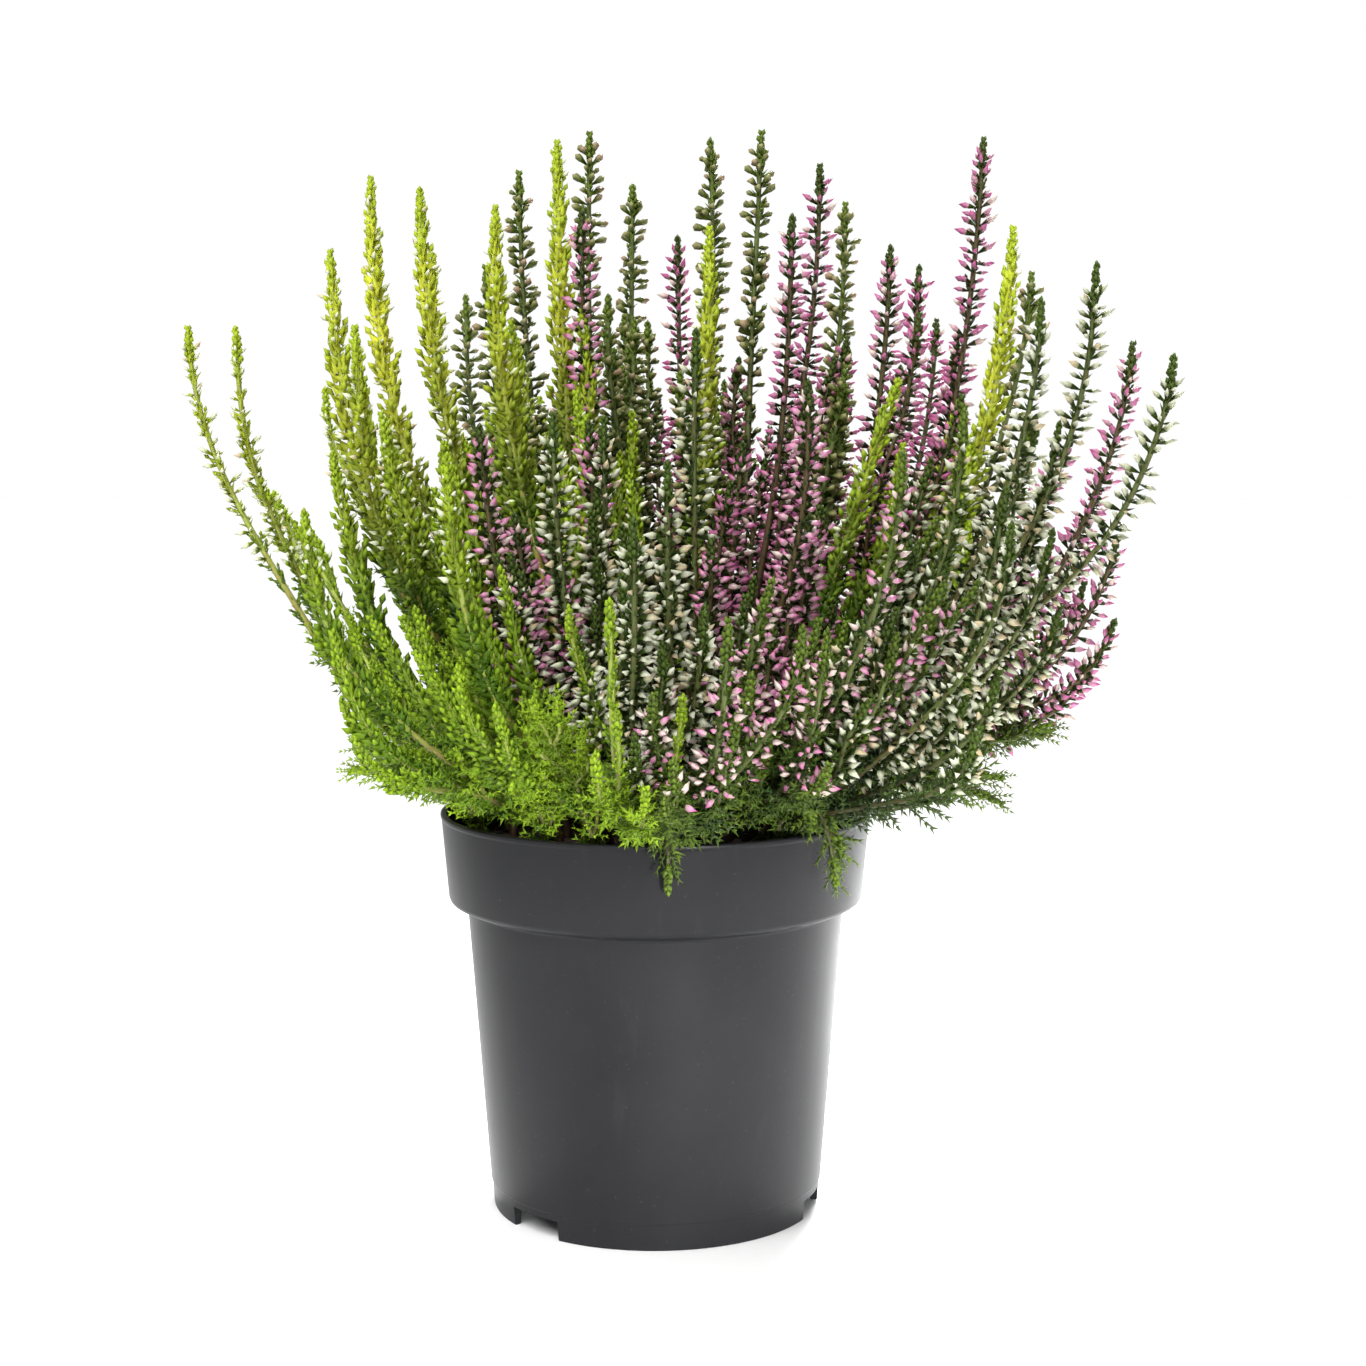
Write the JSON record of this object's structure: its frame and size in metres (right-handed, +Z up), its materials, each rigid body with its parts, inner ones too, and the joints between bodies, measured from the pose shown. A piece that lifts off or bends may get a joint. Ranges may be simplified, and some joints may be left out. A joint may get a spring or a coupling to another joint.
{
  "type": "potted heather",
  "caption": "Potted heather: upright budded sprays and leafy shoots in lime, white, pink and green, standing in soil in a round stepped plastic pot.",
  "frame": {"origin": "on the floor at the pot's axis", "axes": "+Z up along the pot's axis, -Y to the front, +X to the right seen from the front"},
  "size_m": [0.2715, 0.243, 0.303],
  "materials": {
    "pot_plastic": "satin",
    "soil": "matte",
    "lime_heather": "matte",
    "white_heather": "matte",
    "pink_heather": "matte",
    "green_heather": "matte"
  },
  "bodies": {
    "root": {"green_shoot_01": "green_heather", "green_shoot_02": "green_heather", "green_shoot_03": "green_heather", "green_shoot_04": "green_heather", "green_shoot_05": "green_heather", "green_shoot_06": "green_heather", "green_spray_01": "green_heather", "green_spray_02": "green_heather", "green_spray_03": "green_heather", "green_spray_04": "green_heather", "green_spray_05": "green_heather", "green_spray_06": "green_heather", "green_spray_07": "green_heather", "green_spray_08": "green_heather", "green_spray_09": "green_heather", "green_spray_10": "green_heather", "green_spray_11": "green_heather", "green_spray_12": "green_heather", "lime_shoot_01": "lime_heather", "lime_shoot_02": "lime_heather", "lime_shoot_03": "lime_heather", "lime_shoot_04": "lime_heather", "lime_shoot_05": "lime_heather", "lime_shoot_06": "lime_heather", "lime_spray_01": "lime_heather", "lime_spray_02": "lime_heather", "lime_spray_03": "lime_heather", "lime_spray_04": "lime_heather", "lime_spray_05": "lime_heather", "lime_spray_06": "lime_heather", "lime_spray_07": "lime_heather", "lime_spray_08": "lime_heather", "lime_spray_09": "lime_heather", "lime_spray_10": "lime_heather", "lime_spray_11": "lime_heather", "lime_spray_12": "lime_heather", "pink_spray_01": "pink_heather", "pink_spray_02": "pink_heather", "pink_spray_03": "pink_heather", "pink_spray_04": "pink_heather", "pink_spray_05": "pink_heather", "pink_spray_06": "pink_heather", "pink_spray_07": "pink_heather", "pink_spray_08": "pink_heather", "pink_spray_09": "pink_heather", "pink_spray_10": "pink_heather", "pink_spray_11": "pink_heather", "pink_spray_12": "pink_heather", "pot": "pot_plastic", "soil": "soil", "white_spray_01": "white_heather", "white_spray_02": "white_heather", "white_spray_03": "white_heather", "white_spray_04": "white_heather", "white_spray_05": "white_heather", "white_spray_06": "white_heather", "white_spray_07": "white_heather", "white_spray_08": "white_heather", "white_spray_09": "white_heather", "white_spray_10": "white_heather"}
  },
  "joints": []
}
